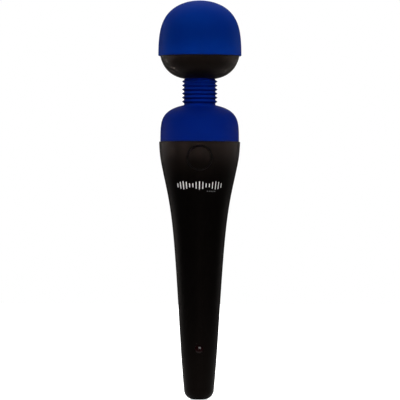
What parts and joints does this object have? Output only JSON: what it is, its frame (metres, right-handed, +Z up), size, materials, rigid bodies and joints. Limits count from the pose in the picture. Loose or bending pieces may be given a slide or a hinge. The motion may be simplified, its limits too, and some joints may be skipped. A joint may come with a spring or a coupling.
{
  "type": "handheld wand massager",
  "caption": "Cordless palm-size wand massager: tapered handle with a power button, flexible ribbed neck, round vibrating head and a pull-off silicone cap.",
  "frame": {"origin": "centre of the handle's flat end, on the surface it stands on", "axes": "+Z up along the handle to the head; -Y is the front, with the power button; +X to the right of the front"},
  "size_m": [0.0428, 0.0428, 0.205],
  "materials": {
    "soft_touch_black": "soft-touch satin",
    "blue_silicone": "satin silicone",
    "black_rubber": "matte",
    "white_plastic": "moulded",
    "steel": "plain",
    "brass": "turned",
    "copper_winding": "enamelled wire",
    "nickel": "plated",
    "magnet": "sintered",
    "battery_wrap": "shrink film",
    "circuit_board": "solder mask",
    "chip_black": "moulded",
    "red_lens": "clear-moulded",
    "red_wire": "insulation",
    "black_wire": "insulation"
  },
  "bodies": {
    "handle": {"handle_front_shell": "soft_touch_black", "handle_rear_shell": "soft_touch_black", "shell_screw_1": "steel", "shell_screw_2": "steel", "shell_screw_3": "steel", "screw_plug_1": "black_rubber", "screw_plug_2": "black_rubber", "screw_plug_3": "black_rubber", "shoulder_core": "white_plastic", "neck_sleeve": "blue_silicone", "spring_plug_lower": "white_plastic", "inner_chassis": "white_plastic", "battery_cell": "battery_wrap", "battery_tab_positive": "nickel", "battery_tab_negative": "nickel", "control_board": "circuit_board", "board_screw_1": "steel", "board_screw_2": "steel", "control_chip": "chip_black", "motor_driver": "chip_black", "board_connector": "white_plastic", "switch_body": "chip_black", "button_gasket": "black_rubber", "charge_board": "circuit_board", "charge_led": "red_lens", "led_lens": "red_lens", "charge_socket": "chip_black", "socket_pin": "nickel", "battery_lead_red": "red_wire", "battery_lead_black": "black_wire", "charge_lead_red": "red_wire", "charge_lead_black": "black_wire"},
    "button": {"power_button": "soft_touch_black"},
    "plunger": {"switch_plunger": "white_plastic"},
    "neck": {"neck_spring": "steel", "motor_lead_red": "red_wire", "motor_lead_black": "black_wire"},
    "head": {"head_lower_shell": "soft_touch_black", "head_upper_shell": "soft_touch_black", "head_screw_1": "steel", "head_screw_2": "steel", "head_screw_3": "steel", "motor_cradle": "white_plastic", "motor_clamp_ring": "white_plastic", "motor_can": "steel", "motor_end_bell": "white_plastic", "motor_magnet_1": "magnet", "motor_magnet_2": "magnet", "spring_plug_upper": "white_plastic"},
    "rotor": {"motor_shaft": "steel", "motor_armature": "copper_winding", "eccentric_weight": "brass"},
    "cap": {"head_cap": "blue_silicone"}
  },
  "joints": [
    {"name": "button_press", "type": "slide", "parent": "handle", "child": "button", "axis": [0, 0.9883, 0.1526], "range_m": [0, 0.0006], "stiffness_N_per_m": 1500},
    {"name": "plunger_press", "type": "slide", "parent": "handle", "child": "plunger", "axis": [0, 0.9883, 0.1526], "range_m": [0, 0.0008]},
    {"name": "neck_pitch", "type": "hinge", "parent": "handle", "child": "neck", "pos_m": [0, 0, 0.155], "axis": [1, 0, 0], "range_deg": [-15, 15], "stiffness_Nm_per_rad": 0.6, "deforming": ["neck_sleeve", "neck_spring", "motor_lead_red", "motor_lead_black"]},
    {"name": "neck_roll", "type": "hinge", "parent": "neck", "child": "head", "pos_m": [0, 0, 0.1612], "axis": [0, 1, 0], "range_deg": [-15, 15], "stiffness_Nm_per_rad": 0.6, "deforming": ["neck_sleeve", "neck_spring", "motor_lead_red", "motor_lead_black"]},
    {"name": "rotor_spin", "type": "hinge", "parent": "head", "child": "rotor", "pos_m": [0, 0, 0.183], "axis": [0, 0, 1], "continuous": true},
    {"name": "cap_pull_off", "type": "slide", "parent": "head", "child": "cap", "axis": [0, 0, 1], "range_m": [0, 0.035]}
  ],
  "couplings": [
    {"joint": "plunger_press", "follows": "button_press", "ratio": 1}
  ]
}
